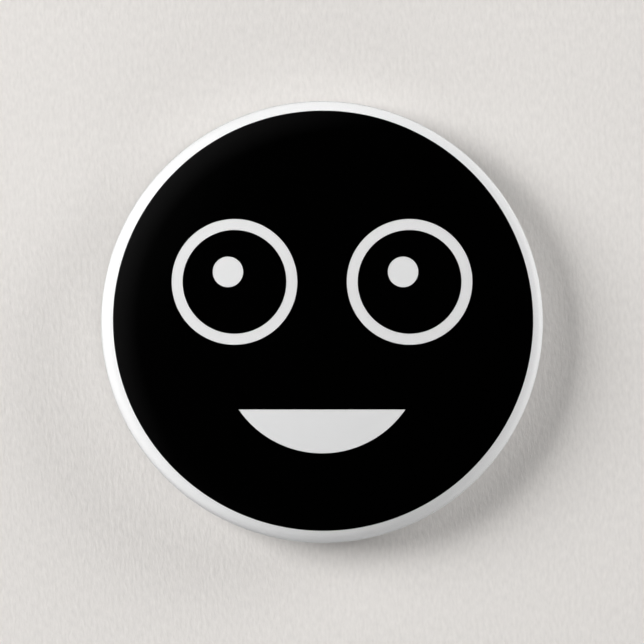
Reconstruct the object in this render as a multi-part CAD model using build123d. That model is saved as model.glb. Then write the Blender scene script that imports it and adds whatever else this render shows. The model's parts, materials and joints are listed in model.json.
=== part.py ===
"""A round pin-back button badge, 2 1/4 in across, printed with a plain smiling face.

Frame: millimetres, +Z up. The face looks along -Y and the pin is on the +Y side. The origin is on
the badge's axis, in the plane of the rim's lowest line, where the badge meets the cloth.
A section point is (radius, height), with height measured from that plane towards the face.
"""

from build123d import *
from math import atan2, cos, degrees, radians, sin, sqrt
import os

# Driving dimensions of the pressed body
BADGE_RADIUS = 57.15 / 2
DOME_RADIUS = 170.0
SHOULDER_RADIUS = 9.0
EDGE_RADIUS = 2.5
EDGE_START_DEG = 34.0
CURL_RADIUS = 1.25
SIDE_WALL = 0.2

# Sheet thicknesses, from the outside in
FILM = 0.05
INK = 0.02
PAPER = 0.10
SHELL = 0.25
BACK = 0.25

# How far each layer runs up inside the rim past the end of its curl
WRAP_TUCK = 0.55
LIP_TUCK = 0.35

# Back plate section
FLANGE_RADIUS = 27.7
FLANGE_LIFT = 0.05
LAND_HEIGHT = 0.9
WELL_RADIUS = 22.6
WELL_SLOPE = 0.7
WELL_HEIGHT = 1.9
BEND = 0.35

# Bridges lanced out of the well floor, which hold the wire
BRIDGE_X = 8.0
BRIDGE_WIDTH = 3.0
BRIDGE_FOOT = 1.5
BRIDGE_TOP = 0.62
BRIDGE_TOE = 0.3
BRIDGE_BEND = 0.3

# Pin wire
WIRE_RADIUS = 0.4
WIRE_CLEARANCE = 0.03
WIRE_Z = 3.4
COIL_X = 16.5
COIL_TOP = 2.85
COIL_TURNS = 1.5
COIL_PITCH = 0.84
ARM_LENGTH = 34.5
ARM_SET_DEG = 0.8
ARM_SET_LENGTH = 3.5
POINT_LENGTH = 4.5
POINT_RADIUS = 0.05
HOOK_BEND = 1.0
HOOK_FROM_TIP = 2.4
HOOK_DROP = 0.2
HOOK_END_DEG = 92.0

# Printed face, seen from the front: X to the right, Z up
FACE_RADIUS = 27.11
FACE_SHIFT = (0.14, 0.17)
EYE_X = 11.27
EYE_Z = 5.17
EYE_RING_RADIUS = 8.10
EYE_RING_WIDTH = 1.42
GLINT_RADIUS = 1.97
GLINT_SHIFT = (-0.84, 1.28)
SMILE_RADIUS = 13.04
SMILE_TOP_Z = -11.26
SMILE_HEIGHT = 5.65
PRINT_BACK_HEIGHT = 3.0

# Worked out from the above
EDGE_R = BADGE_RADIUS - EDGE_RADIUS
EDGE_HEIGHT = CURL_RADIUS + SIDE_WALL
EDGE_START = radians(EDGE_START_DEG)
EDGE_TO_SHOULDER = SHOULDER_RADIUS - EDGE_RADIUS
SHOULDER_R = EDGE_R - EDGE_TO_SHOULDER * sin(EDGE_START)
SHOULDER_HEIGHT = EDGE_HEIGHT - EDGE_TO_SHOULDER * cos(EDGE_START)
DOME_TO_SHOULDER = DOME_RADIUS - SHOULDER_RADIUS
DOME_CENTRE = SHOULDER_HEIGHT - sqrt(DOME_TO_SHOULDER**2 - SHOULDER_R**2)
DOME_EDGE = atan2(SHOULDER_R, SHOULDER_HEIGHT - DOME_CENTRE)
BODY_HEIGHT = DOME_CENTRE + DOME_RADIUS
CURL_R = BADGE_RADIUS - CURL_RADIUS
RIM_OPENING = BADGE_RADIUS - 2 * CURL_RADIUS
WRAP_END = CURL_RADIUS + WRAP_TUCK
BASE_HEIGHT = WELL_HEIGHT - WIRE_RADIUS - WIRE_CLEARANCE
ARM_HEIGHT = WELL_HEIGHT - COIL_TOP
COIL_RADIUS = (BASE_HEIGHT - ARM_HEIGHT) / 2
COIL_HEIGHT = (BASE_HEIGHT + ARM_HEIGHT) / 2
COIL_RISE = COIL_PITCH * COIL_TURNS
ARM_Z = WIRE_Z + COIL_RISE


def section(radius, height):
    """A point of the section in the XY plane. The face looks along -Y, so height runs that way."""
    return (radius, -height)


def on_circle(centre_r, centre_h, radius, angle):
    """The section point at an angle from the badge's axis, turning from the face to the side."""
    return section(centre_r + radius * sin(angle), centre_h + radius * cos(angle))


def section_arc(centre_r, centre_h, radius, start, end):
    """An arc of the section between two angles from the badge's axis."""
    angles = (start, (start + end) / 2, end)
    return ThreePointArc(*[on_circle(centre_r, centre_h, radius, angle) for angle in angles])


def skin_curve(depth, tuck):
    """The section line that runs depth under the badge's outer skin, from the axis to its tucked end."""
    side_on, inward = radians(90), radians(270)
    dome = section_arc(0, DOME_CENTRE, DOME_RADIUS - depth, 0, DOME_EDGE)
    shoulder = section_arc(
        SHOULDER_R, SHOULDER_HEIGHT, SHOULDER_RADIUS - depth, DOME_EDGE, EDGE_START
    )
    edge = section_arc(EDGE_R, EDGE_HEIGHT, EDGE_RADIUS - depth, EDGE_START, side_on)
    side = Line(edge @ 1, section(BADGE_RADIUS - depth, CURL_RADIUS))
    under = section_arc(CURL_R, CURL_RADIUS, CURL_RADIUS - depth, side_on, inward)
    end = Line(under @ 1, section(RIM_OPENING + depth, CURL_RADIUS + tuck))
    return dome, shoulder, edge, side, under, end


def pressed_layer(outer, inner, tuck):
    """A sheet wrapped over the whole badge, between two depths under the outer skin."""
    front = skin_curve(outer, tuck)
    back = skin_curve(inner, tuck)
    ends = (Line(front[-1] @ 1, back[-1] @ 1), Line(front[0] @ 0, back[0] @ 0))
    return revolve(make_face([*front, *back, *ends]), axis=Axis.Y)


def film_cover():
    return pressed_layer(0, FILM, WRAP_TUCK)


def printed_paper():
    return pressed_layer(FILM + INK, FILM + INK + PAPER, WRAP_TUCK)


def front_shell():
    outer = FILM + INK + PAPER
    return pressed_layer(outer, outer + SHELL, LIP_TUCK)


def print_on_dome(outline):
    """A printed shape, drawn flat as seen from the front, as a solid ink layer on the domed paper."""
    through = extrude(outline, amount=BODY_HEIGHT + 1, dir=(0, -1, 0))
    front_only = Pos(0, -PRINT_BACK_HEIGHT, 0) * through
    return pressed_layer(FILM, FILM + INK, WRAP_TUCK) & front_only


def front_disc(radius, x, z):
    """A flat disc in the XZ plane."""
    return Plane((x, 0, z), x_dir=(1, 0, 0), z_dir=(0, -1, 0)) * Circle(radius)


def smile():
    """The part of a disc below a level chord, flat in the XZ plane."""
    disc = front_disc(SMILE_RADIUS, 0, SMILE_TOP_Z - SMILE_HEIGHT + SMILE_RADIUS)
    width, drop = 2 * SMILE_RADIUS, 2 * SMILE_RADIUS
    below = Plane((0, 0, SMILE_TOP_Z - drop / 2), x_dir=(1, 0, 0), z_dir=(0, -1, 0))
    return disc & (below * Rectangle(width, drop))


def face_print():
    """The black field: a disc with the two eyes and the smile left open."""
    field = front_disc(FACE_RADIUS, *FACE_SHIFT)
    for side in (-1, 1):
        field -= front_disc(EYE_RING_RADIUS, side * EYE_X, EYE_Z)
    return print_on_dome(field - smile())


def eye_print(side):
    """The black inside of one eye's ring, with its glint left open."""
    eye = front_disc(EYE_RING_RADIUS - EYE_RING_WIDTH, side * EYE_X, EYE_Z)
    glint_x = side * EYE_X + GLINT_SHIFT[0]
    return print_on_dome(eye - front_disc(GLINT_RADIUS, glint_x, EYE_Z + GLINT_SHIFT[1]))


def bent_sheet(points, bend):
    """A face of the back plate's thickness, on the left of a line bent at each inner point."""
    line = FilletPolyline(*points, radius=bend)
    return make_face(offset(line, amount=BACK, side=Side.LEFT, closed=True))


def bridge():
    """One strip lanced out of the well floor and pushed out over the wire."""
    top = 2 * WIRE_RADIUS + 2 * WIRE_CLEARANCE
    half = [
        (-BRIDGE_FOOT - BRIDGE_TOE, -BACK),
        (-BRIDGE_FOOT, -BACK),
        (-BRIDGE_TOP, top),
    ]
    points = half + [(-u, v) for u, v in reversed(half)]
    strip = bent_sheet(points, BRIDGE_BEND)
    upright = Plane((0, -WELL_HEIGHT, WIRE_Z), x_dir=(0, 0, -1), z_dir=(1, 0, 0))
    return extrude(upright * strip, amount=BRIDGE_WIDTH / 2, both=True)


def back_plate():
    """The pressed back: a flange behind the rim's lip, a collar, a land and a sunk well."""
    flange = WRAP_END + BEND + FLANGE_LIFT
    points = [
        section(FLANGE_RADIUS, flange),
        section(RIM_OPENING, flange),
        section(RIM_OPENING, LAND_HEIGHT),
        section(WELL_RADIUS, LAND_HEIGHT),
        section(WELL_RADIUS - WELL_SLOPE, WELL_HEIGHT),
        section(0, WELL_HEIGHT),
    ]
    plate = revolve(bent_sheet(points, BEND), axis=Axis.Y)
    for x in (-BRIDGE_X, BRIDGE_X):
        slot = Pos(x, -WELL_HEIGHT, WIRE_Z) * Box(BRIDGE_WIDTH, 4 * BACK, 2 * BRIDGE_FOOT)
        plate = plate - slot + Pos(x, 0, 0) * bridge()
    return plate


def wire_along(path, start, direction):
    """Round wire along a path."""
    return sweep(Plane(start, z_dir=direction) * Circle(WIRE_RADIUS), path=path)


def arm_point(along):
    """A point on the arm's axis, this far from the coil, past the slight bend that sets it."""
    radius = ARM_SET_LENGTH / radians(ARM_SET_DEG)
    tilt = radians(ARM_SET_DEG)
    x = COIL_X - radius * sin(tilt) - (along - ARM_SET_LENGTH) * cos(tilt)
    y = -ARM_HEIGHT - radius * (1 - cos(tilt)) - (along - ARM_SET_LENGTH) * sin(tilt)
    return Vector(x, y, ARM_Z)


def pin_arm():
    """The moving arm: a slight set beside the coil, a straight shaft and a ground point."""
    root = Vector(COIL_X, -ARM_HEIGHT, ARM_Z)
    shaft_start = arm_point(ARM_SET_LENGTH)
    shaft_end = arm_point(ARM_LENGTH - POINT_LENGTH)
    tip = arm_point(ARM_LENGTH)
    along = (tip - shaft_end).normalized()
    set_bend = TangentArc(root, shaft_start, tangent=(-1, 0, 0))
    shaft = Line(shaft_start, shaft_end)
    curved = wire_along(set_bend, root, (-1, 0, 0))
    straight = wire_along(shaft, shaft_start, along)
    sharp = loft(
        [
            Plane(shaft_end, z_dir=along) * Circle(WIRE_RADIUS),
            Plane(tip, z_dir=along) * Circle(POINT_RADIUS),
        ]
    )
    return curved + straight + sharp


def pin_spring_coil():
    """The turns that join the base wire to the arm."""
    centre = (COIL_X, -COIL_HEIGHT, WIRE_Z)
    turns = Helix(COIL_PITCH, COIL_RISE, COIL_RADIUS)
    placed = Pos(*centre) * Rot(0, 0, -90) * turns
    return wire_along(placed, placed @ 0, placed % 0)


def pin_base_wire():
    """The fixed wire through the bridges, bent up and over at its end to catch the arm."""
    caught = arm_point(ARM_LENGTH - HOOK_FROM_TIP)
    hook_x = caught.X
    hook_y = caught.Y - HOOK_DROP
    base_y = -BASE_HEIGHT
    end = radians(HOOK_END_DEG)
    start = (COIL_X, base_y, WIRE_Z)
    run = Line(start, (hook_x + HOOK_BEND, base_y, WIRE_Z))
    rise_start = (hook_x, base_y + HOOK_BEND, WIRE_Z)
    corner = TangentArc(run @ 1, rise_start, tangent=(-1, 0, 0))
    rise = Line(corner @ 1, (hook_x, hook_y, WIRE_Z))
    diagonal = COIL_RISE / sqrt(2)
    over = ThreePointArc(
        rise @ 1,
        (hook_x, hook_y + diagonal, ARM_Z - diagonal),
        (hook_x, hook_y + COIL_RISE * sin(end), ARM_Z + COIL_RISE * cos(end)),
    )
    return wire_along(Wire([run, corner, rise, over]), start, (-1, 0, 0))


PARTS = {
    "film_cover": film_cover,
    "printed_paper": printed_paper,
    "face_print": face_print,
    "left_eye_print": lambda: eye_print(-1),
    "right_eye_print": lambda: eye_print(1),
    "front_shell": front_shell,
    "back_plate": back_plate,
    "pin_base_wire": pin_base_wire,
    "pin_spring_coil": pin_spring_coil,
    "pin_arm": pin_arm,
}


def main():
    os.makedirs("parts", exist_ok=True)
    for name, make in PARTS.items():
        export_step(make(), f"parts/{name}.step")
    print("body height", round(BODY_HEIGHT, 3), "dome edge", round(degrees(DOME_EDGE), 2))
    print("coil centre", COIL_X, round(-COIL_HEIGHT, 3), round(WIRE_Z + COIL_RISE / 2, 3))
    print("shaft from", arm_point(ARM_SET_LENGTH), "to", arm_point(ARM_LENGTH - POINT_LENGTH))


main()
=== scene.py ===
"""The looks of a pin-back button badge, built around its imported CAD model.

Everything is in metres in the model's frame: the face looks along -Y, the cloth side is +Y, +Z is up.
A section point is (radius, height), with height measured from the rim's back plane towards the face.
"""

import json
from math import asin, atan2, cos, hypot, pi, radians, sin, sqrt, tan

import bmesh
import bpy
import numpy as np
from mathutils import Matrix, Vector
from mathutils.geometry import delaunay_2d_cdt


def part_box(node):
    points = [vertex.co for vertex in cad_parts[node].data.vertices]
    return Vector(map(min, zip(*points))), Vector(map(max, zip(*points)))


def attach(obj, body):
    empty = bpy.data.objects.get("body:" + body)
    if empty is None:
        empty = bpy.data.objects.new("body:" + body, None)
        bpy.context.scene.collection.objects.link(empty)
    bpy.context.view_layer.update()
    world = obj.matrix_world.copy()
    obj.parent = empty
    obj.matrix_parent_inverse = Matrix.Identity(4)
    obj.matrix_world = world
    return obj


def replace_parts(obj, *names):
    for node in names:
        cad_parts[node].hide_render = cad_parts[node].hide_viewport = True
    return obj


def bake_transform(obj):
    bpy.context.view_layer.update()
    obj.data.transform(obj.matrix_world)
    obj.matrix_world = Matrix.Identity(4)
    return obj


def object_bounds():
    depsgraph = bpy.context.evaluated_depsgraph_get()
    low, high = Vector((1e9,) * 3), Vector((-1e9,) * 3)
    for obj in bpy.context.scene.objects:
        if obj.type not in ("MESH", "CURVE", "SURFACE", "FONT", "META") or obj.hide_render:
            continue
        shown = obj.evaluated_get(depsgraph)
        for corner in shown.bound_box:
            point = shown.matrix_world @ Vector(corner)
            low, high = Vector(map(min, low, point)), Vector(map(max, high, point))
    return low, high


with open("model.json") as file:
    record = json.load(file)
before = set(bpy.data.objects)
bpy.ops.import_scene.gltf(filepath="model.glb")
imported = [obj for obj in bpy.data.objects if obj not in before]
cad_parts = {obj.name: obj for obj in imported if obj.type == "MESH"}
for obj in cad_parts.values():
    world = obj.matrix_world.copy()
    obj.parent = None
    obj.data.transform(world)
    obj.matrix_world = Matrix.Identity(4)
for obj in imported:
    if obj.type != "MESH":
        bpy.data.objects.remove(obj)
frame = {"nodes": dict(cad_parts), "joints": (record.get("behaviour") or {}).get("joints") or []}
CAD_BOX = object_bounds()
MM = 0.001

# The pressed section, as the CAD model has it
FILM_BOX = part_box("film_cover")
BADGE_RADIUS = (FILM_BOX[1].x - FILM_BOX[0].x) / 2
BODY_HEIGHT = -FILM_BOX[0].y
DOME_RADIUS = 170 * MM
SHOULDER_RADIUS = 9 * MM
EDGE_RADIUS = 2.5 * MM
EDGE_START = radians(34)
CURL_RADIUS = 1.25 * MM
SIDE_WALL = 0.2 * MM
WRAP_TUCK = 0.55 * MM
FILM = 0.05 * MM
INK = 0.02 * MM
PAPER = 0.10 * MM
EDGE_R = BADGE_RADIUS - EDGE_RADIUS
EDGE_HEIGHT = CURL_RADIUS + SIDE_WALL
SHOULDER_R = EDGE_R - (SHOULDER_RADIUS - EDGE_RADIUS) * sin(EDGE_START)
SHOULDER_HEIGHT = EDGE_HEIGHT - (SHOULDER_RADIUS - EDGE_RADIUS) * cos(EDGE_START)
DOME_HEIGHT = BODY_HEIGHT - DOME_RADIUS
DOME_EDGE = asin(SHOULDER_R / (DOME_RADIUS - SHOULDER_RADIUS))
CURL_R = BADGE_RADIUS - CURL_RADIUS

# The film and ink are drawn thinner than they are, so that layers that touch don't share a surface
FILM_SHOWN = 0.8 * FILM
INK_SHOWN = 0.9 * INK

# The printed face: X to the right and Z up, seen from the front
FACE_RADIUS = 27.11 * MM
FACE_SHIFT = (0.14 * MM, 0.17 * MM)
EYE_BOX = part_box("right_eye_print")
EYE_RADIUS = (EYE_BOX[1].x - EYE_BOX[0].x) / 2
EYE_X = (EYE_BOX[1].x + EYE_BOX[0].x) / 2
EYE_Z = (EYE_BOX[1].z + EYE_BOX[0].z) / 2
EYE_RING_WIDTH = 1.42 * MM
EYE_RING_RADIUS = EYE_RADIUS + EYE_RING_WIDTH
GLINT_RADIUS = 1.97 * MM
GLINT_SHIFT = (-0.84 * MM, 1.28 * MM)
SMILE_RADIUS = 13.04 * MM
SMILE_TOP = -11.26 * MM
SMILE_DEPTH = 5.65 * MM
SMILE_CENTRE = SMILE_TOP - SMILE_DEPTH + SMILE_RADIUS

# Gathers where the film and paper turn under the rim: shift and width are shares of the pitch
PLEATS = 118
PLEAT_LIFT = 0.11 * MM
PLEAT_FROM, PLEAT_TO = radians(112), radians(247)
PLEAT_SHIFT = 0.38
PLEAT_WIDTH = (0.22, 0.42)
PLEAT_STRENGTH = (0.15, 1.0)
PLEAT_SEED = 11

# Back plate section, measured on its outer side
BACK = 0.25 * MM
FLANGE_RADIUS = 27.7 * MM
RIM_OPENING = BADGE_RADIUS - 2 * CURL_RADIUS
FLANGE_HEIGHT = -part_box("back_plate")[0].y - BACK
LAND_HEIGHT = 0.9 * MM
WELL_RADIUS = 22.6 * MM
WELL_SLOPE = 0.7 * MM
WELL_HEIGHT = 1.9 * MM
BEND = 0.35 * MM
FLOOR_RADIUS = 14 * MM
FLOOR_GRID = 2 * MM

# Bridges lanced out of the well floor
BRIDGE_X = 8 * MM
BRIDGE_WIDTH = 3 * MM
BRIDGE_FOOT = 1.5 * MM
BRIDGE_TOP = 0.62 * MM
BRIDGE_RISE = 0.86 * MM
BRIDGE_BEND = 0.3 * MM
BRIDGE_TOE = 0.16 * MM

# Pin wire: the base runs to the left from the coil to the hook, and the arm lies over it
WIRE_RADIUS = 0.4 * MM
COIL = Vector(frame["joints"][0]["pos_m"])
COIL_TURNS = 1.5
COIL_PITCH = 0.84 * MM
COIL_RISE = COIL_PITCH * COIL_TURNS
COIL_RADIUS = 1.21 * MM
WIRE_Z = COIL.z - COIL_RISE / 2
ARM_Z = COIL.z + COIL_RISE / 2
ARM_LENGTH = 34.5 * MM
ARM_SET = radians(0.8)
ARM_SET_LENGTH = 3.5 * MM
POINT_LENGTH = 4.5 * MM
POINT_RADIUS = 0.05 * MM
HOOK_BEND = 1 * MM
HOOK_FROM_TIP = 2.4 * MM
HOOK_DROP = 0.2 * MM
HOOK_END = radians(92)
POINT_CURVE = 1.25
# The hook's rounded cut end: how far back from the cut and how thick, in shares of the wire's radius
CUT_ROUNDING = ((1 / 4, 1.0), (1 / 12, 0.94), (0, 0.8))

# Mesh fineness
TURN_STEPS = 960
TURN = np.arange(TURN_STEPS) * 2 * pi / TURN_STEPS
SECTION_STEPS = 14
CURL_STEPS = 24
FACE_STEPS = 420
RING_STEPS = 220
EYE_STEPS = 200
GLINT_STEPS = 90
SMILE_STEPS = 150
SMILE_TOP_STEPS = 40
BEND_STEPS = 8
WIRE_SIDES = 36
COIL_STEPS = 180
PRINT_GRID = 0.45 * MM

# Mesh tolerances: an edge is a real corner above SHARP, and points closer than SAME_POINT are one
SHARP = radians(35)
NEARLY = 0.999
SAME_POINT = 0.001 * MM
SAME_FLAT_POINT = 1e-9

# Camera and surroundings
VIEW_WIDTH = 83.27 * MM
CAMERA_DISTANCE = 1.0
SENSOR = 36.0
WALL_GAP = 0.03 * MM
WALL_SIZE = 0.3
LAMP_DISTANCE = 1.0
LAMP_SIZE = 0.55
FRONT_AMBIENT = 0.1
BACK_AMBIENT = 0.22


# ---------------------------------------------------------------- section and meshes


def skin_rows(depth):
    """Rows (radius, height, angle, lift) along the skin this far under the surface, axis to tuck."""
    rows = []

    def arc(centre_r, centre_h, radius, start, end, steps):
        for a in np.linspace(start, end, steps + 1)[1:]:
            share = (a - PLEAT_FROM) / (PLEAT_TO - PLEAT_FROM)
            lift = sin(pi * share) if 0 < share < 1 else 0.0
            rows.append((centre_r + radius * sin(a), centre_h + radius * cos(a), a, lift))

    arc(0, DOME_HEIGHT, DOME_RADIUS - depth, 0, DOME_EDGE, SECTION_STEPS)
    arc(SHOULDER_R, SHOULDER_HEIGHT, SHOULDER_RADIUS - depth, DOME_EDGE, EDGE_START, SECTION_STEPS)
    arc(EDGE_R, EDGE_HEIGHT, EDGE_RADIUS - depth, EDGE_START, radians(90), SECTION_STEPS)
    rows.append((BADGE_RADIUS - depth, CURL_RADIUS, radians(90), 0.0))
    arc(CURL_R, CURL_RADIUS, CURL_RADIUS - depth, radians(90), radians(270), CURL_STEPS)
    rows.append((rows[-1][0], CURL_RADIUS + WRAP_TUCK, radians(270), 0.0))
    return rows


def skin_height(radius, depth):
    """Height of the front skin this far under the surface, at a distance from the axis."""
    if radius <= (DOME_RADIUS - depth) * sin(DOME_EDGE):
        return DOME_HEIGHT + sqrt((DOME_RADIUS - depth) ** 2 - radius**2)
    if radius <= SHOULDER_R + (SHOULDER_RADIUS - depth) * sin(EDGE_START):
        across = radius - SHOULDER_R
        return SHOULDER_HEIGHT + sqrt((SHOULDER_RADIUS - depth) ** 2 - across**2)
    across = min(radius - EDGE_R, EDGE_RADIUS - depth)
    return EDGE_HEIGHT + sqrt((EDGE_RADIUS - depth) ** 2 - across**2)


def pleats():
    """How far the gathered skin stands off at each step of the turn, from 0 to about 1."""
    draw = np.random.default_rng(PLEAT_SEED)
    pitch = 2 * pi / PLEATS
    centres = (np.arange(PLEATS) + draw.uniform(-PLEAT_SHIFT, PLEAT_SHIFT, PLEATS)) * pitch
    strengths = draw.uniform(*PLEAT_STRENGTH, PLEATS) ** 1.5
    widths = draw.uniform(*PLEAT_WIDTH, PLEATS) * pitch
    away = (TURN[:, None] - centres[None, :] + pi) % (2 * pi) - pi
    return (strengths * np.exp(-((away / widths) ** 2))).sum(axis=1)


def new_piece(name, points, faces, material, body):
    """A mesh piece in place, smooth but for its real corners, riding on a body."""
    mesh = bpy.data.meshes.new(name)
    mesh.from_pydata(points, [], faces)
    mesh.validate()
    mesh.shade_smooth()
    mesh.set_sharp_from_angle(angle=SHARP)
    piece = bpy.data.objects.new(name, mesh)
    bpy.context.scene.collection.objects.link(piece)
    mesh.materials.append(material)
    if body:
        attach(piece, body)
    return piece


def band_faces(rows):
    """Faces between neighbouring rows of points that each go once round the axis."""
    faces = []
    for row in range(rows - 1):
        for step in range(TURN_STEPS):
            a = row * TURN_STEPS + step
            b = row * TURN_STEPS + (step + 1) % TURN_STEPS
            faces.append((a, a + TURN_STEPS, b + TURN_STEPS, b))
    return faces


def layer(name, outer_depth, inner_depth, material):
    """A sheet wrapped over the whole badge and gathered under its rim, as one closed skin."""
    rows = skin_rows(outer_depth) + skin_rows(inner_depth)[::-1]
    gather = pleats() * PLEAT_LIFT
    points = []
    for radius, height, angle, lift in rows:
        r = radius + gather * lift * sin(angle)
        h = height + gather * lift * cos(angle)
        points += zip(r * np.cos(TURN), -h, r * np.sin(TURN))
    faces = band_faces(len(rows))
    front, back = len(points), len(points) + 1
    points += [(0, outer_depth - BODY_HEIGHT, 0), (0, inner_depth - BODY_HEIGHT, 0)]
    last = (len(rows) - 1) * TURN_STEPS
    for step in range(TURN_STEPS):
        after = (step + 1) % TURN_STEPS
        faces.append((front, step, after))
        faces.append((back, last + after, last + step))
    return new_piece(name, points, faces, material, "badge")


def circle(x, z, radius, count):
    """Points round a circle as seen from the front."""
    turn = np.arange(count) * 2 * pi / count
    return [(x + radius * cos(t), z + radius * sin(t)) for t in turn]


def smile_outline():
    """The smile: a chord of a disc and the arc below it."""
    half = asin((SMILE_TOP - SMILE_CENTRE) / SMILE_RADIUS)
    arc = [
        (SMILE_RADIUS * cos(a), SMILE_CENTRE + SMILE_RADIUS * sin(a))
        for a in np.linspace(pi - half, 2 * pi + half, SMILE_STEPS)
    ]
    chord = np.linspace(arc[-1][0], arc[0][0], SMILE_TOP_STEPS)[1:-1]
    return arc + [(x, SMILE_TOP) for x in chord]


def in_smile(x, z, margin=0.0):
    """Whether a point is in the smile, or within a margin of it."""
    inside = hypot(x, z - SMILE_CENTRE) < SMILE_RADIUS + margin
    return inside and z < SMILE_TOP + margin


def flat_mesh(outlines, shows, near, grid):
    """Triangles between closed outlines, as flat points and index triples. shows says whether a point
    is inside; near, whether it is too close to an outline for a point of the inner grid."""
    points, edges = [], []
    for outline in outlines:
        first = len(points)
        points += outline
        count = len(outline)
        edges += [(first + i, first + (i + 1) % count) for i in range(count)]
    lowest = [min(p[k] for p in points) for k in (0, 1)]
    highest = [max(p[k] for p in points) for k in (0, 1)]
    row_step = grid * sqrt(3) / 2
    for row, z in enumerate(np.arange(lowest[1], highest[1], row_step)):
        for x in np.arange(lowest[0] + (row % 2) * grid / 2, highest[0], grid):
            if shows(x, z) and not near(x, z):
                points.append((x, z))
    places = [Vector(p) for p in points]
    flat, _, triangles, *_ = delaunay_2d_cdt(places, edges, [], 0, SAME_FLAT_POINT)
    kept = []
    for triangle in triangles:
        centre = sum((flat[i] for i in triangle), Vector((0, 0))) / 3
        if shows(centre.x, centre.y):
            kept.append(tuple(triangle))
    used = sorted({i for triangle in kept for i in triangle})
    index = {old: new for new, old in enumerate(used)}
    return [flat[i] for i in used], [tuple(index[i] for i in triangle) for triangle in kept]


def thick_sheet(flat, triangles, front, back, walled):
    """A flat mesh as a sheet between two heights, which front and back give by the distance from the
    axis. walled says whether the sheet is closed at an edge of it."""
    points = [(p.x, -height(p.length), p.y) for height in (front, back) for p in flat]
    count = len(flat)
    sides = {(t[k], t[(k + 1) % 3]) for t in triangles for k in range(3)}
    faces = triangles + [tuple(count + i for i in reversed(t)) for t in triangles]
    for a, b in sides:
        if (b, a) not in sides and walled(flat[a], flat[b]):
            faces.append((b, a, count + a, count + b))
    return points, faces


def printed(name, outlines, shows, near, material):
    """A thin layer of ink on the domed paper."""
    flat, triangles = flat_mesh(outlines, shows, near, PRINT_GRID)
    points, faces = thick_sheet(
        flat,
        triangles,
        lambda radius: skin_height(radius, FILM),
        lambda radius: skin_height(radius, FILM + INK_SHOWN),
        lambda a, b: True,
    )
    return new_piece(name, points, faces, material, "badge")


def face_layer(material):
    """The black field, open at the two eyes and the smile."""
    shift_x, shift_z = FACE_SHIFT
    margin = PRINT_GRID / 2
    eyes = (-EYE_X, EYE_X)

    def shows(x, z):
        in_eye = any(hypot(x - eye, z - EYE_Z) < EYE_RING_RADIUS for eye in eyes)
        inside = hypot(x - shift_x, z - shift_z) < FACE_RADIUS
        return inside and not in_eye and not in_smile(x, z)

    def near(x, z):
        by_eye = any(hypot(x - eye, z - EYE_Z) < EYE_RING_RADIUS + margin for eye in eyes)
        by_rim = hypot(x - shift_x, z - shift_z) > FACE_RADIUS - margin
        return by_eye or by_rim or in_smile(x, z, margin)

    outlines = [circle(shift_x, shift_z, FACE_RADIUS, FACE_STEPS)]
    outlines += [circle(eye, EYE_Z, EYE_RING_RADIUS, RING_STEPS) for eye in eyes]
    outlines.append(smile_outline())
    return printed("face_ink", outlines, shows, near, material)


def eye_layer(name, side, material):
    """The black inside of one eye's ring, open at its glint."""
    eye = side * EYE_X
    glint_x, glint_z = eye + GLINT_SHIFT[0], EYE_Z + GLINT_SHIFT[1]
    margin = PRINT_GRID / 2

    def shows(x, z):
        in_glint = hypot(x - glint_x, z - glint_z) < GLINT_RADIUS
        return hypot(x - eye, z - EYE_Z) < EYE_RADIUS and not in_glint

    def near(x, z):
        by_glint = hypot(x - glint_x, z - glint_z) < GLINT_RADIUS + margin
        return hypot(x - eye, z - EYE_Z) > EYE_RADIUS - margin or by_glint

    outlines = [
        circle(eye, EYE_Z, EYE_RADIUS, EYE_STEPS),
        circle(glint_x, glint_z, GLINT_RADIUS, GLINT_STEPS),
    ]
    return printed(name, outlines, shows, near, material)


def bent_line(points, bend, aside):
    """A line rounded at each inner point and moved to its right, as points."""

    def right_of(start, finish):
        heading = (finish - start).normalized()
        return Vector((heading.y, -heading.x)) * aside

    turned = []
    for before, corner, after in zip(points, points[1:], points[2:]):
        into, out = (corner - before).normalized(), (after - corner).normalized()
        turn = atan2(into.x * out.y - into.y * out.x, into.dot(out))
        way = 1 if turn > 0 else -1
        first = corner - into * bend * tan(abs(turn) / 2)
        centre = first + Vector((-into.y, into.x)) * way * bend
        for step in range(BEND_STEPS + 1):
            heading = atan2(into.y, into.x) + turn * step / BEND_STEPS
            right = Vector((sin(heading), -cos(heading)))
            turned.append(centre + right * (way * bend + aside))
    start = points[0] + right_of(points[0], points[1])
    end = points[-1] + right_of(points[-2], points[-1])
    return [start, *turned, end]


def plate_section(aside):
    """The back plate's section (radius, height) outside its floor, on one of its two sides."""
    corners = [
        (FLANGE_RADIUS, FLANGE_HEIGHT),
        (RIM_OPENING, FLANGE_HEIGHT),
        (RIM_OPENING, LAND_HEIGHT),
        (WELL_RADIUS, LAND_HEIGHT),
        (WELL_RADIUS - WELL_SLOPE, WELL_HEIGHT),
        (FLOOR_RADIUS, WELL_HEIGHT),
    ]
    return bent_line([Vector(corner) for corner in corners], BEND, aside)


def plate_ring():
    """The back plate from its flange in to the edge of its floor, open there."""
    rows = plate_section(BACK)[::-1] + plate_section(0.0)
    points = [(place.x * cos(t), -place.y, place.x * sin(t)) for place in rows for t in TURN]
    return points, band_faces(len(rows))


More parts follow.
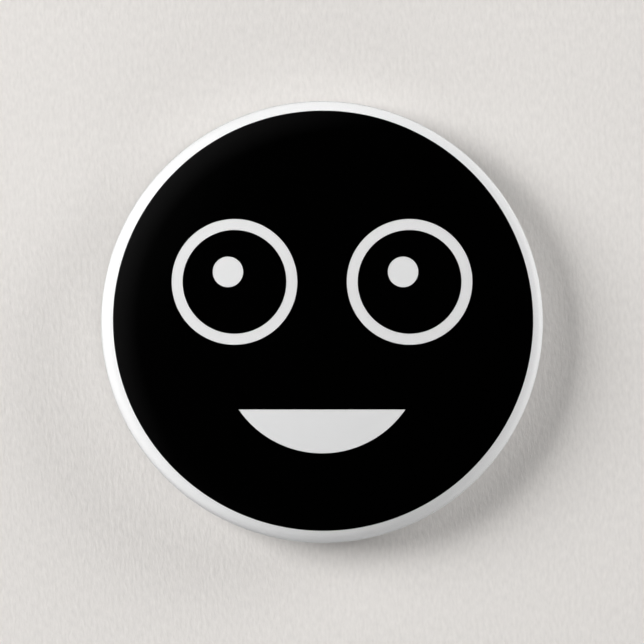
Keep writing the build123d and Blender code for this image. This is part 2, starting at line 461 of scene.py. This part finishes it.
def plate_floor():
    """The flat floor of the well, with a slot under each bridge, open where other parts join it."""
    half_x, half_z = BRIDGE_WIDTH / 2, BRIDGE_FOOT + BRIDGE_TOE

    def in_slot(x, z, margin=0.0):
        across = min(abs(x - BRIDGE_X), abs(x + BRIDGE_X))
        return across < half_x + margin and abs(z - WIRE_Z) < half_z + margin

    def shows(x, z):
        return hypot(x, z) < FLOOR_RADIUS and not in_slot(x, z)

    def near(x, z):
        return hypot(x, z) > FLOOR_RADIUS - FLOOR_GRID / 2 or in_slot(x, z, FLOOR_GRID / 3)

    def walled(a, b):
        at_rim = min(a.length, b.length) > FLOOR_RADIUS * NEARLY
        at_slot_end = min(abs(a.y - WIRE_Z), abs(b.y - WIRE_Z)) > half_z * NEARLY
        at_foot = at_slot_end and abs(a.y - b.y) < half_z
        return not (at_rim or at_foot)

    outlines = [circle(0, 0, FLOOR_RADIUS, TURN_STEPS)]
    corners = ((-1, -1), (1, -1), (1, 1), (-1, 1))
    for x in (-BRIDGE_X, BRIDGE_X):
        outlines.append([(x + i * half_x, WIRE_Z + k * half_z) for i, k in corners])
    flat, triangles = flat_mesh(outlines, shows, near, FLOOR_GRID)
    return thick_sheet(
        flat,
        triangles,
        lambda radius: WELL_HEIGHT + BACK,
        lambda radius: WELL_HEIGHT,
        walled,
    )


def bridge(x):
    """One strip lanced out of the floor and pushed out over the wire, open where it joins the floor."""
    half = [(-BRIDGE_FOOT - BRIDGE_TOE, BACK), (-BRIDGE_FOOT, BACK), (-BRIDGE_TOP, -BRIDGE_RISE)]
    line = [Vector(p) for p in half + [(-u, v) for u, v in reversed(half)]]
    inner, outer = bent_line(line, BRIDGE_BEND, 0.0), bent_line(line, BRIDGE_BEND, BACK)
    across = len(inner)
    points = []
    for side in (-1, 1):
        for p in inner + outer:
            points.append((x + side * BRIDGE_WIDTH / 2, -WELL_HEIGHT - p.y, WIRE_Z + p.x))
    other = 2 * across
    faces = []
    for i in range(across - 1):
        a, b = i, i + across
        faces.append((a, a + 1, b + 1, b))
        faces.append((other + a, other + b, other + b + 1, other + a + 1))
        faces.append((a, other + a, other + a + 1, a + 1))
        faces.append((b, b + 1, other + b + 1, other + b))
    return points, faces


def back_plate(material):
    """The pressed back plate with its two bridges, as one piece."""
    points, faces = [], []
    for part_points, part_faces in (plate_ring(), plate_floor(), bridge(-BRIDGE_X), bridge(BRIDGE_X)):
        first = len(points)
        points += part_points
        faces += [tuple(first + i for i in face) for face in part_faces]
    piece = new_piece("pressed_back", points, faces, material, "badge")
    mesh = bmesh.new()
    mesh.from_mesh(piece.data)
    bmesh.ops.remove_doubles(mesh, verts=mesh.verts, dist=SAME_POINT)
    bmesh.ops.recalc_face_normals(mesh, faces=mesh.faces)
    mesh.to_mesh(piece.data)
    mesh.free()
    piece.data.set_sharp_from_angle(angle=SHARP)
    return piece


def wire(name, path, radii, material, body):
    """A round wire along a smooth path, with its radius at each point."""
    last = len(path) - 1
    side = (path[1] - path[0]).orthogonal().normalized()
    points, faces = [], []
    for i, (centre, radius) in enumerate(zip(path, radii)):
        ahead = (path[min(i + 1, last)] - path[max(i - 1, 0)]).normalized()
        side = (side - ahead * side.dot(ahead)).normalized()
        up = ahead.cross(side)
        for step in range(WIRE_SIDES):
            angle = 2 * pi * step / WIRE_SIDES
            points.append(centre + (side * cos(angle) + up * sin(angle)) * float(radius))
    for ring in range(last):
        for step in range(WIRE_SIDES):
            a = ring * WIRE_SIDES + step
            b = ring * WIRE_SIDES + (step + 1) % WIRE_SIDES
            faces.append((a, b, b + WIRE_SIDES, a + WIRE_SIDES))
    faces.append(tuple(reversed(range(WIRE_SIDES))))
    faces.append(tuple(range(last * WIRE_SIDES, (last + 1) * WIRE_SIDES)))
    return new_piece(name, points, faces, material, body)


def coil(material):
    """The spring coil: a helix round the hinge, its turns at an even spacing."""
    path = []
    for share in np.linspace(0, 1, COIL_STEPS + 1):
        turn = 2 * pi * COIL_TURNS * share
        ring = Vector((sin(turn), -cos(turn), 0)) * COIL_RADIUS
        path.append(COIL + ring + Vector((0, 0, COIL_RISE * (share - 0.5))))
    piece = wire("spring_coil", path, [WIRE_RADIUS] * len(path), material, None)
    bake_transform(piece)
    return piece


def arm_point(along):
    """A point on the arm's axis, this far from the coil."""
    set_radius = ARM_SET_LENGTH / ARM_SET
    tilt = ARM_SET * min(along / ARM_SET_LENGTH, 1.0)
    past = max(along - ARM_SET_LENGTH, 0.0)
    x = COIL.x - set_radius * sin(tilt) - past * cos(tilt)
    y = COIL.y + COIL_RADIUS - set_radius * (1 - cos(tilt)) - past * sin(tilt)
    return Vector((x, y, ARM_Z))


def arm_wire(material):
    """The moving arm, bent slightly beside the coil, with a ground point."""
    shaft_end = ARM_LENGTH - POINT_LENGTH
    places = [*np.linspace(0, ARM_SET_LENGTH, 8), *np.linspace(ARM_SET_LENGTH, shaft_end, 12)[1:]]
    radii = [WIRE_RADIUS] * len(places)
    for share in np.linspace(0, 1, 25)[1:]:
        places.append(shaft_end + POINT_LENGTH * share)
        radii.append(POINT_RADIUS + (WIRE_RADIUS - POINT_RADIUS) * (1 - share**POINT_CURVE))
    path = [arm_point(along) for along in places]
    return wire("arm_wire", path, radii, material, "pin")


def base_wire(material):
    """The fixed wire, from the coil through both bridges to the hook that catches the arm."""
    base_y = COIL.y - COIL_RADIUS
    caught = arm_point(ARM_LENGTH - HOOK_FROM_TIP)
    hook_x, hook_y = caught.x, caught.y - HOOK_DROP
    path = [Vector((x, base_y, WIRE_Z)) for x in np.linspace(COIL.x, hook_x + HOOK_BEND, 24)]
    centre = Vector((hook_x + HOOK_BEND, base_y + HOOK_BEND, WIRE_Z))
    for angle in np.linspace(0, pi / 2, 17)[1:]:
        path.append(centre - HOOK_BEND * Vector((sin(angle), cos(angle), 0)))
    for angle in np.linspace(0, HOOK_END, 33):
        around_arm = Vector((0, sin(angle), -cos(angle))) * COIL_RISE
        path.append(Vector((hook_x, hook_y, ARM_Z)) + around_arm)
    ahead = (path[-1] - path[-2]).normalized()
    cut = path.pop()
    radii = [WIRE_RADIUS] * len(path)
    for back, share in CUT_ROUNDING:
        path.append(cut - ahead * WIRE_RADIUS * back)
        radii.append(WIRE_RADIUS * share)
    return wire("base_wire", path, radii, material, "badge")


# ---------------------------------------------------------------- materials


def empty_material(name):
    """A new material and its node tree, with no nodes yet."""
    material = bpy.data.materials.new(name)
    material.use_nodes = True
    material.node_tree.nodes.clear()
    return material, material.node_tree


def add(tree, kind, sets=None, **links):
    """A node with its sockets set by name, from plain values in sets and from sockets in links."""
    node = tree.nodes.new(kind)
    for name, value in (sets or {}).items():
        node.inputs[name].default_value = value
    for name, socket in links.items():
        tree.links.new(socket, node.inputs[name])
    return node


def noise(tree, vector, scale, detail=3.0, roughness=0.5):
    """Fractal noise, about 0 to 1, at a place given by a vector."""
    node = add(tree, "ShaderNodeTexNoise", {"Scale": scale, "Detail": detail, "Roughness": roughness})
    tree.links.new(vector, node.inputs["Vector"])
    return node.outputs["Fac"]


def stretched(tree, scale, tilt=0.0):
    """Object coordinates scaled by axis, to draw a grain out along the smallest scale."""
    place = tree.nodes.new("ShaderNodeTexCoord").outputs["Object"]
    if tilt:
        turned = add(tree, "ShaderNodeMapping", {"Rotation": (0, tilt, 0)}, Vector=place)
        place = turned.outputs["Vector"]
    node = add(tree, "ShaderNodeMapping", {"Scale": scale}, Vector=place)
    return node.outputs["Vector"]


def ramp(tree, factor, low, high, to_low, to_high):
    """A factor remapped from one range to another, held at both ends."""
    node = add(
        tree,
        "ShaderNodeMapRange",
        {"From Min": low, "From Max": high, "To Min": to_low, "To Max": to_high},
        Value=factor,
    )
    return node.outputs["Result"]


def tint(tree, factor, dark, light):
    """A colour between two, by a factor."""
    node = tree.nodes.new("ShaderNodeMix")
    node.data_type = "RGBA"
    tree.links.new(factor, node.inputs["Factor"])
    colours = [socket for socket in node.inputs if socket.type == "RGBA"]
    colours[0].default_value = (*dark, 1)
    colours[1].default_value = (*light, 1)
    return next(socket for socket in node.outputs if socket.type == "RGBA")


def maths(tree, kind, first, second):
    """One Math node on two sockets, or on a socket and a number."""
    node = tree.nodes.new("ShaderNodeMath")
    node.operation = kind
    for place, value in enumerate((first, second)):
        if isinstance(value, (int, float)):
            node.inputs[place].default_value = value
        else:
            tree.links.new(value, node.inputs[place])
    return node.outputs["Value"]


def bump(tree, height, distance, before=None):
    """A normal bent by a height field, on top of another one where there is one before it."""
    node = add(tree, "ShaderNodeBump", {"Strength": 1.0, "Distance": distance}, Height=height)
    if before:
        tree.links.new(before, node.inputs["Normal"])
    return node.outputs["Normal"]


def principled(tree, sets, colour, normal, **links):
    """A Principled shader with plain values in sets and its other sockets linked."""
    links = {"Base Color": colour, "Normal": normal, **links}
    return add(tree, "ShaderNodeBsdfPrincipled", sets, **links).outputs["BSDF"]


def clear(tree):
    """A shader that lets everything through."""
    return add(tree, "ShaderNodeBsdfTransparent", {"Color": (1, 1, 1, 1)}).outputs["BSDF"]


def backfacing(tree):
    """1 where a surface is seen from behind."""
    return tree.nodes.new("ShaderNodeNewGeometry").outputs["Backfacing"]


def mixed(tree, factor, first, second):
    """Two shaders mixed by a factor, from all of the first at 0."""
    mix = tree.nodes.new("ShaderNodeMixShader")
    for place, socket in enumerate((factor, first, second)):
        tree.links.new(socket, mix.inputs[place])
    return mix.outputs["Shader"]


def surface(tree, shader, output="ShaderNodeOutputMaterial"):
    """Makes a shader the result of a material, or of the world."""
    tree.links.new(shader, tree.nodes.new(output).inputs["Surface"])


def film_material():
    """Clear polyester film: a smooth gloss by Fresnel over what is under it."""
    material, tree = empty_material("clear_polyester_film")
    place = stretched(tree, (1, 1, 1))
    smears = noise(tree, place, 90.0, 4.0)
    gloss_roughness = ramp(tree, smears, 0.3, 0.75, 0.035, 0.085)
    ripple = noise(tree, place, 260.0, 2.0)
    scuffs = noise(tree, stretched(tree, (2600, 2600, 190)), 1.0, 2.0)
    fine = maths(tree, "MULTIPLY", ramp(tree, scuffs, 0.66, 0.74, 0.0, 1.0), 0.25)
    normal = bump(tree, maths(tree, "ADD", ripple, fine), 0.004 * MM)
    gloss = add(
        tree, "ShaderNodeBsdfGlossy", {"Color": (1, 1, 1, 1)}, Roughness=gloss_roughness, Normal=normal
    )
    fresnel = add(tree, "ShaderNodeFresnel", {"IOR": 1.57}, Normal=normal)
    outside = maths(tree, "SUBTRACT", 1.0, backfacing(tree))
    share = maths(tree, "MULTIPLY", fresnel.outputs["Fac"], outside)
    surface(tree, mixed(tree, share, clear(tree), gloss.outputs["BSDF"]))
    return material


def paper_material():
    """Coated white printing paper, with faint fibres."""
    material, tree = empty_material("printed_paper_white")
    place = stretched(tree, (1, 1, 1))
    fibres = noise(tree, place, 1400.0, 4.0, 0.6)
    clouds = noise(tree, place, 120.0, 3.0)
    both = maths(tree, "ADD", maths(tree, "MULTIPLY", fibres, 0.5), maths(tree, "MULTIPLY", clouds, 0.5))
    shader = principled(
        tree,
        {"Specular IOR Level": 0.15},
        colour=tint(tree, both, (0.785, 0.785, 0.785), (0.815, 0.815, 0.815)),
        normal=bump(tree, fibres, 0.006 * MM),
        Roughness=ramp(tree, fibres, 0.3, 0.7, 0.55, 0.7),
    )
    surface(tree, shader)
    return material


def ink_material():
    """Dense black print, with the faint mottle of toner on paper."""
    material, tree = empty_material("printed_black")
    place = stretched(tree, (1, 1, 1))
    mottle = noise(tree, place, 900.0, 3.0, 0.6)
    shader = principled(
        tree,
        {"Specular IOR Level": 0.05},
        colour=tint(tree, mottle, (0.0001, 0.0001, 0.0001), (0.0003, 0.0003, 0.0003)),
        normal=bump(tree, mottle, 0.004 * MM),
        Roughness=ramp(tree, mottle, 0.3, 0.7, 0.5, 0.65),
    )
    surface(tree, shader)
    return material


def tinplate_material():
    """Bright tinplate: rolling grain, a slight waviness, a few scratches and finger smudges."""
    material, tree = empty_material("bright_tinplate")
    place = stretched(tree, (1, 1, 1))
    waves = noise(tree, place, 75.0, 1.5, 0.4)
    grain = noise(tree, stretched(tree, (60, 1500, 2600)), 1.0, 4.0, 0.7)
    smudges = noise(tree, place, 140.0, 5.0, 0.55)
    crossing = noise(tree, stretched(tree, (2400, 2400, 110), tilt=radians(35)), 1.0, 2.0)
    scratches = ramp(tree, crossing, 0.68, 0.74, 0.0, 1.0)
    sheen = ramp(tree, smudges, 0.3, 0.75, 0.16, 0.33)
    rough = maths(tree, "ADD", sheen, ramp(tree, grain, 0.0, 1.0, -0.04, 0.06))
    relief = maths(tree, "SUBTRACT", grain, maths(tree, "MULTIPLY", scratches, 0.6))
    bent = bump(tree, waves, 0.09 * MM)
    shader = principled(
        tree,
        {"Metallic": 1.0},
        colour=tint(tree, smudges, (0.74, 0.735, 0.72), (0.88, 0.88, 0.87)),
        normal=bump(tree, relief, 0.008 * MM, before=bent),
        Roughness=rough,
    )
    surface(tree, shader)
    return material


def wire_material():
    """Nickel-plated spring wire, with drawing lines and duller handled patches."""
    material, tree = empty_material("nickel_plated_wire")
    place = stretched(tree, (1, 1, 1))
    lines = noise(tree, stretched(tree, (350, 6500, 6500)), 1.0, 2.0)
    wear = noise(tree, place, 420.0, 4.0, 0.6)
    shader = principled(
        tree,
        {"Metallic": 1.0},
        colour=tint(tree, wear, (0.62, 0.60, 0.56), (0.80, 0.78, 0.74)),
        normal=bump(tree, lines, 0.0025 * MM),
        Roughness=ramp(tree, wear, 0.3, 0.75, 0.12, 0.3),
    )
    surface(tree, shader)
    return material


def wall_material():
    """Pale drawing paper with an upright grain, seen only from its front side."""
    material, tree = empty_material("pale_grained_paper")
    streaks = noise(tree, stretched(tree, (2300, 1, 900), tilt=radians(3)), 1.0, 3.0, 0.55)
    pulp = noise(tree, stretched(tree, (1, 1, 1)), 700.0, 3.0)
    relief = maths(tree, "ADD", streaks, maths(tree, "MULTIPLY", pulp, 0.5))
    paper = principled(
        tree,
        {"Roughness": 0.95, "Specular IOR Level": 0.1},
        colour=tint(tree, streaks, (0.63, 0.607, 0.587), (0.8, 0.772, 0.744)),
        normal=bump(tree, relief, 0.06 * MM),
    )
    surface(tree, mixed(tree, backfacing(tree), paper, clear(tree)))
    return material


# ---------------------------------------------------------------- surroundings


def wall():
    """The paper wall just behind the badge. Only the camera sees it: it blocks and returns no light."""
    back = CAD_BOX[1].y + WALL_GAP
    half = WALL_SIZE / 2
    corners = [(-half, back, -half), (half, back, -half), (half, back, half), (-half, back, half)]
    mesh = bpy.data.meshes.new("paper_wall")
    mesh.from_pydata(corners, [], [(0, 1, 2, 3)])
    mesh.materials.append(wall_material())
    piece = bpy.data.objects.new("paper_wall", mesh)
    bpy.context.scene.collection.objects.link(piece)
    piece.visible_diffuse = piece.visible_glossy = piece.visible_shadow = False
    piece.visible_transmission = False


def direction(azimuth, zenith):
    """Out from the badge: azimuth runs anticlockwise from the viewer's right, zenith from the normal."""
    a, z = radians(azimuth), radians(zenith)
    return Vector((sin(z) * cos(a), -cos(z), sin(z) * sin(a)))


def softbox(name, azimuth, zenith, strength):
    """A square soft lamp a metre off. At a strength of 1 it shows white paper that faces it as white."""
    towards = direction(azimuth, zenith)
    light = bpy.data.lights.new(name, "AREA")
    light.shape = "SQUARE"
    light.size = LAMP_SIZE
    light.energy = strength * (pi * LAMP_DISTANCE) ** 2
    lamp = bpy.data.objects.new(name, light)
    lamp.location = towards * LAMP_DISTANCE
    lamp.rotation_mode = "QUATERNION"
    lamp.rotation_quaternion = towards.to_track_quat("Z", "Y")
    lamp.visible_glossy = lamp.visible_camera = False
    bpy.context.scene.collection.objects.link(lamp)


def lamps():
    """A key from the left, fills from the right, from below and in front, and a lamp for the back."""
    softbox("key", 160, 60, 1.3)
    softbox("right_fill", 30, 80, 0.9)
    softbox("foot_fill", 285, 80, 0.4)
    softbox("front_fill", 0, 5, 0.15)
    softbox("back_key", 75, 140, 0.55)


def mirrored_light(tree, across, depth, height):
    """How bright the surroundings look in a reflection, by direction: X, Y and Z from -1 to 1."""
    left = maths(tree, "MULTIPLY", across, -0.9)
    upper_left = maths(tree, "ADD", left, maths(tree, "MULTIPLY", height, 0.5))
    glow = ramp(tree, upper_left, 0.24, 0.9, 0.0, 0.12)
    beside = ramp(tree, depth, -0.48, -0.15, 0.0, 0.85)
    on_left = ramp(tree, left, 0.25, 0.7, 0.0, 1.0)
    front = maths(tree, "ADD", glow, maths(tree, "MULTIPLY", beside, on_left))

    behind = ramp(tree, depth, 0.0, 0.35, 0.0, 1.0)
    below = ramp(tree, height, -0.5, 0.0, 0.25, 0.8)
    above = ramp(tree, height, 0.1, 0.4, 0.0, -0.4)
    back = maths(tree, "MULTIPLY", behind, maths(tree, "ADD", below, above))
    return maths(tree, "MAXIMUM", front, back)


def surroundings_light():
    """Faint light from the front and pale light from behind, with its own look in reflections."""
    world = bpy.data.worlds.new("studio")
    bpy.context.scene.world = world
    world.use_nodes = True
    tree = world.node_tree
    tree.nodes.clear()
    ray = tree.nodes.new("ShaderNodeTexCoord").outputs["Generated"]
    axes = add(tree, "ShaderNodeSeparateXYZ", Vector=ray).outputs
    path = tree.nodes.new("ShaderNodeLightPath").outputs

    mirrored = mirrored_light(tree, axes["X"], axes["Y"], axes["Z"])
    ambient = ramp(tree, axes["Y"], -0.01, 0.01, FRONT_AMBIENT, BACK_AMBIENT)
    soft = add(tree, "ShaderNodeBackground", {"Color": (1, 1, 1, 1)}, Strength=ambient)
    shine = add(tree, "ShaderNodeBackground", {"Color": (1, 1, 1, 1)}, Strength=mirrored)
    pale = add(tree, "ShaderNodeBackground", {"Color": (0.80, 0.79, 0.78, 1), "Strength": 1.0})
    shaded = mixed(tree, path["Is Glossy Ray"], soft.outputs[0], shine.outputs[0])
    seen = mixed(tree, path["Is Camera Ray"], shaded, pale.outputs[0])
    surface(tree, seen, "ShaderNodeOutputWorld")


def camera():
    """A long lens straight in front of the face."""
    data = bpy.data.cameras.new("camera")
    data.sensor_width = SENSOR
    data.lens = SENSOR * CAMERA_DISTANCE / VIEW_WIDTH
    data.clip_end = 10
    eye = bpy.data.objects.new("camera", data)
    eye.location = (0, -CAMERA_DISTANCE - EDGE_HEIGHT, 0)
    eye.rotation_euler = (radians(90), 0, 0)
    bpy.context.scene.collection.objects.link(eye)
    bpy.context.scene.camera = eye


# ---------------------------------------------------------------- the badge


def dress(name, material):
    """Gives a CAD node that keeps its shape its own material."""
    node = frame["nodes"][name]
    node.data.materials.clear()
    node.data.materials.append(material)


def build():
    """The badge, with a mesh of its own for every CAD node but the front shell."""
    paper = layer("paper_wrap", FILM + INK, FILM + INK + PAPER, paper_material())
    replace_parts(paper, "printed_paper")
    film = layer("film_wrap", 0.0, FILM_SHOWN, film_material())
    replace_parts(film, "film_cover")
    black = ink_material()
    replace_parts(face_layer(black), "face_print")
    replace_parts(eye_layer("left_eye_ink", -1, black), "left_eye_print")
    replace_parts(eye_layer("right_eye_ink", 1, black), "right_eye_print")
    plated = wire_material()
    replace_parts(base_wire(plated), "pin_base_wire")
    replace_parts(coil(plated), "pin_spring_coil")
    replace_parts(arm_wire(plated), "pin_arm")
    tinplate = tinplate_material()
    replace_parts(back_plate(tinplate), "back_plate")
    dress("front_shell", tinplate)


def studio():
    """What the badge is seen against and in."""
    wall()
    lamps()
    surroundings_light()
    bpy.context.scene.view_settings.view_transform = "Standard"


build()
studio()
camera()
bpy.context.view_layer.update()
